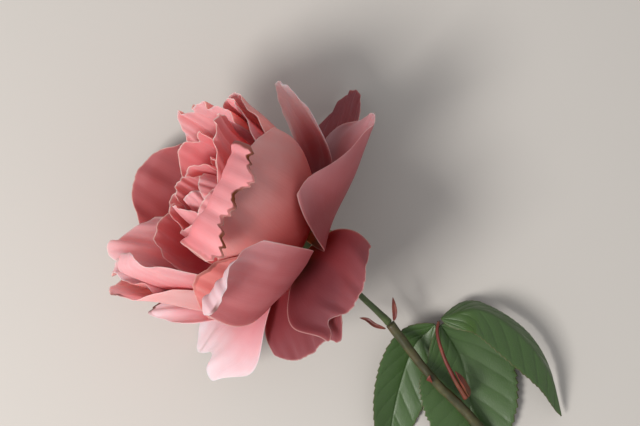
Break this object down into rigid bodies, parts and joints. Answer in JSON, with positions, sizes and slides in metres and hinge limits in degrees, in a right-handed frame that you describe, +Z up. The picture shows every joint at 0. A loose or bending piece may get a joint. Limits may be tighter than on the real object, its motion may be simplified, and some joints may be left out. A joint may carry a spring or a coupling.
{
  "type": "rose",
  "caption": "Cut garden rose lying on its side: full cupped bloom with reflexed outer petals, hip, sepals, stalk, short stem and one leaf of three leaflets.",
  "frame": {"origin": "centre of the bounding box's footprint, on the surface that the rose lies on", "axes": "+Z up from the surface; the bloom faces -X and +Y and is tipped up a little, and the stem runs down to the surface towards +X and -Y"},
  "size_m": [0.1512, 0.1541, 0.0943],
  "materials": {
    "outer_petal": "satin",
    "cup_petal": "satin",
    "inner_petal": "satin",
    "sepal": "matte",
    "young_green": "satin",
    "stem": "satin",
    "leaf": "satin",
    "red_shoot": "satin"
  },
  "bodies": {
    "root": {"axil_bud": "red_shoot", "bract_1": "red_shoot", "bract_2": "red_shoot", "cup_petal_01": "cup_petal", "cup_petal_02": "cup_petal", "cup_petal_03": "cup_petal", "cup_petal_04": "cup_petal", "cup_petal_05": "cup_petal", "cup_petal_06": "cup_petal", "cup_petal_07": "cup_petal", "flower_stalk": "young_green", "guard_petal_01": "outer_petal", "guard_petal_02": "outer_petal", "guard_petal_03": "outer_petal", "guard_petal_04": "outer_petal", "guard_petal_05": "outer_petal", "guard_petal_06": "outer_petal", "guard_petal_07": "outer_petal", "guard_petal_08": "outer_petal", "guard_petal_09": "outer_petal", "hip": "young_green", "inner_petal_01": "inner_petal", "inner_petal_02": "inner_petal", "inner_petal_03": "inner_petal", "inner_petal_04": "inner_petal", "inner_petal_05": "inner_petal", "inner_petal_06": "inner_petal", "inner_petal_07": "inner_petal", "inner_petal_08": "inner_petal", "inner_petal_09": "inner_petal", "inner_petal_10": "inner_petal", "inner_petal_11": "inner_petal", "inner_petal_12": "inner_petal", "inner_petal_13": "inner_petal", "inner_petal_14": "inner_petal", "inner_petal_15": "inner_petal", "leaf_stalk": "red_shoot", "leaflet_1": "leaf", "leaflet_2": "leaf", "leaflet_3": "leaf", "sepal_1": "sepal", "sepal_2": "sepal", "sepal_3": "sepal", "sepal_4": "sepal", "sepal_5": "sepal", "stem": "stem", "stipule_1": "red_shoot"}
  },
  "joints": []
}
